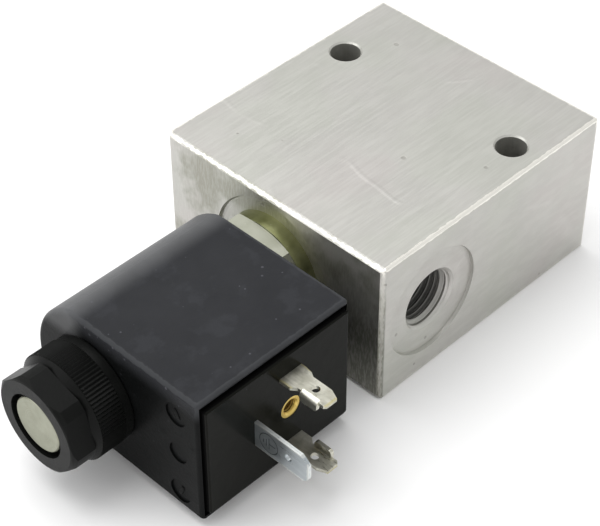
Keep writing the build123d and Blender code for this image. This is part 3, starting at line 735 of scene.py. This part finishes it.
finishes = {
    "block_aluminium": aluminium(),
    "zinc_yellow_steel": zinc_plated(),
    "stainless_steel": turned("stainless_steel", grey(0.52), grey(0.66), 0.24),
    "core_steel": turned("core_steel", CORE_DARK, CORE_LIGHT, 0.34, spot=CORE_SPOT),
    "hardened_steel": turned("hardened_steel", grey(0.36), grey(0.50), 0.22),
    "spring_steel": clouded(
        "spring_steel", grey(0.20), grey(0.32), 0.25, size=0.4 * MM, depth=0.01 * MM, level=0.8, metallic=1.0
    ),
    "yoke_steel": turned("yoke_steel", grey(0.40), grey(0.55, -0.03), 0.30),
    "brass": turned(
        "brass", BRASS_DARK, BRASS_LIGHT, 0.2, pitch=0.18 * MM,
        axis="Y", centre=(CONNECTOR_X, 0.0, CONNECTOR_HEIGHT),
        shaded_hole=(INSERT_HOLE_RADIUS, INSERT_MOUTH, BRASS_HOLE_SHADE),
    ),
    "copper_wire": copper_turns(),
    "tinned_contact": plated(
        "tinned_contact", TIN_DARK, TIN_LIGHT, 0.19, TIN_EDGE,
        ("contact_terminal_upper", "contact_terminal_lower"), stain=TIN_STAIN,
    ),
    "earth_blade": plated(
        "earth_blade", BLADE_DARK, BLADE_LIGHT, 0.20, BLADE_EDGE, ("earth_terminal",), root=0.35, sign=True
    ),
    "coil_black": moulded_coil(),
    "bobbin_plastic": clouded(
        "bobbin_plastic", NYLON_DARK, NYLON_LIGHT, 0.4, size=0.6 * MM, depth=0.05 * MM
    ),
    "nut_black": moulded_nut(),
    "seal_rubber": clouded("seal_rubber", grey(0.012), grey(0.022), 0.5, size=0.4 * MM, depth=0.03 * MM),
    "backup_white": clouded(
        "backup_white", grey(0.70), grey(0.80, 0.02), 0.35, size=0.5 * MM, depth=0.02 * MM
    ),
}


def coat(piece, slot):
    piece.data.materials.clear()
    piece.data.materials.append(finishes[slot])


for part in frame["record"]["subparts"]:
    coat(nodes[part["node"]], part["material_slot"])

# ================= Threads, moulding marks and spring =================
PORT_PITCH = 1.337 * MM
PORT_ROOT = 6.58 * MM
PORT_CREST = 5.75 * MM
PORT_THREAD_LENGTH = 11.0 * MM
SIDE_THREAD_START = -28.75 * MM
END_THREAD_START = 18.25 * MM
port_threads = [
    thread(
        "side_port_thread", (SIDE_PORT_X, SIDE_THREAD_START, AXIS_HEIGHT), (0, 1, 0),
        PORT_ROOT, PORT_CREST, PORT_PITCH, PORT_THREAD_LENGTH, "valve",
    ),
    thread(
        "end_port_thread", (END_THREAD_START, 0, AXIS_HEIGHT), (-1, 0, 0),
        PORT_ROOT, PORT_CREST, PORT_PITCH, PORT_THREAD_LENGTH, "valve",
    ),
]
for piece in port_threads:
    coat(piece, "block_aluminium")

INSERT_THREAD_START = -29.3 * MM
INSERT_ROOT = 1.5 * MM
INSERT_CREST = 1.26 * MM
INSERT_PITCH = 0.5 * MM
INSERT_THREAD_LENGTH = 6.4 * MM
screw_thread = thread(
    "insert_thread", (CONNECTOR_X, INSERT_THREAD_START, CONNECTOR_HEIGHT), (0, 1, 0),
    INSERT_ROOT, INSERT_CREST, INSERT_PITCH, INSERT_THREAD_LENGTH, "coil",
)
coat(screw_thread, "brass")

MARK_FLOOR = COIL_FRONT + 0.35 * MM
MARK_Y = -23.0 * MM
BAR_HALF_WIDTH = 0.5 * MM
BAR_HEIGHT = 0.2 * MM
mark_bars = (
    ("mould_mark_upper_bar", 26.8 * MM, 1.3 * MM, 1.1),
    ("mould_mark_lower_bar", 6.1 * MM, 1.4 * MM, 1.9),
)
for name, mark_height, half_length, tilt in mark_bars:
    centre = (MARK_FLOOR, MARK_Y, mark_height)
    bar = raised_bar(name, centre, half_length, BAR_HALF_WIDTH, BAR_HEIGHT, tilt, "coil")
    coat(bar, "coil_black")

SPRING_SEAT = -80.5 * MM
SPRING_RADIUS = 2.5 * MM
SPRING_WIRE = 0.35 * MM
SPRING_LENGTH = 15.32 * MM
SPRING_TURNS = 9
spring_start = (SPRING_SEAT + SPRING_WIRE, 0.0, AXIS_HEIGHT)
return_spring = helical_wire(
    "return_spring", spring_start, SPRING_LENGTH, SPRING_RADIUS, SPRING_WIRE, SPRING_TURNS,
    "valve",
)
coat(return_spring, "spring_steel")
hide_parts("armature_spring")
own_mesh(return_spring)


# ================= Floor, light and camera =================
def pale_floor():
    """A wide flat sheet with a slight paper tone."""
    half = 3.0
    level = -0.05 * MM  # just under the block, so that the two faces don't coincide
    mesh = bpy.data.meshes.new("floor")
    corners = [(-half, -half, level), (half, -half, level), (half, half, level), (-half, half, level)]
    mesh.from_pydata(corners, [], [(0, 1, 2, 3)])
    floor = bpy.data.objects.new("floor", mesh)
    bpy.context.scene.collection.objects.link(floor)
    made = Finish("floor_paper", Roughness=0.9, Specular_IOR_Level=0.1)
    tone = made.use(clouds, Size=0.2)["Value"]
    made.feed("Base Color", tint(made.tree, tone, grey(0.93), grey(0.95)))
    mesh.materials.append(made.material)


def soft_light(name, place, aim, size, power):
    """A square area light turned towards a point."""
    lamp = bpy.data.lights.new(name, "AREA")
    lamp.shape = "SQUARE"
    lamp.size = size
    lamp.energy = power
    holder = bpy.data.objects.new(name, lamp)
    bpy.context.scene.collection.objects.link(holder)
    holder.location = place
    holder.rotation_euler = (Vector(aim) - Vector(place)).to_track_quat("-Z", "Y").to_euler()


def room_light(strength):
    world = bpy.data.worlds.new("room")
    bpy.context.scene.world = world
    world.use_nodes = True
    sky = world.node_tree.nodes["Background"]
    sky.inputs["Color"].default_value = (1.0, 1.0, 1.0, 1.0)
    sky.inputs["Strength"].default_value = strength


def camera(place, azimuth, elevation, roll, focal_length):
    """The camera looks down from the coil's terminal side. Its angles are in degrees: how far it is
    turned round from +Y towards +X, how far it looks down, and how far it is rolled."""
    azimuth, elevation, roll = (math.radians(angle) for angle in (azimuth, elevation, roll))
    level = Vector((math.cos(azimuth), -math.sin(azimuth), 0.0))
    ahead = math.cos(elevation)
    forward = Vector((math.sin(azimuth) * ahead, math.cos(azimuth) * ahead, -math.sin(elevation)))
    upright = level.cross(forward)
    right = level * math.cos(roll) + upright * math.sin(roll)
    up = upright * math.cos(roll) - level * math.sin(roll)
    lens = bpy.data.cameras.new("camera")
    lens.sensor_fit = "HORIZONTAL"
    lens.sensor_width = 36.0
    lens.lens = focal_length
    lens.clip_start = 0.02
    holder = bpy.data.objects.new("camera", lens)
    bpy.context.scene.collection.objects.link(holder)
    turn = Matrix((right, up, -forward)).transposed()
    holder.matrix_world = Matrix.Translation(place) @ turn.to_4x4()
    bpy.context.scene.camera = holder


pale_floor()
room_light(0.82)
soft_light("overhead", place=(-0.10, 0.25, 0.75), aim=(-0.03, 0.0, 0.02), size=0.7, power=4.0)
soft_light("left_side", place=(-0.60, 0.35, 0.35), aim=(-0.06, 0.0, 0.02), size=0.5, power=1.0)
camera((-0.23960, -0.19946, 0.27292), azimuth=45.389, elevation=42.489, roll=-0.190, focal_length=112.571)
bpy.context.scene.view_settings.view_transform = "Standard"
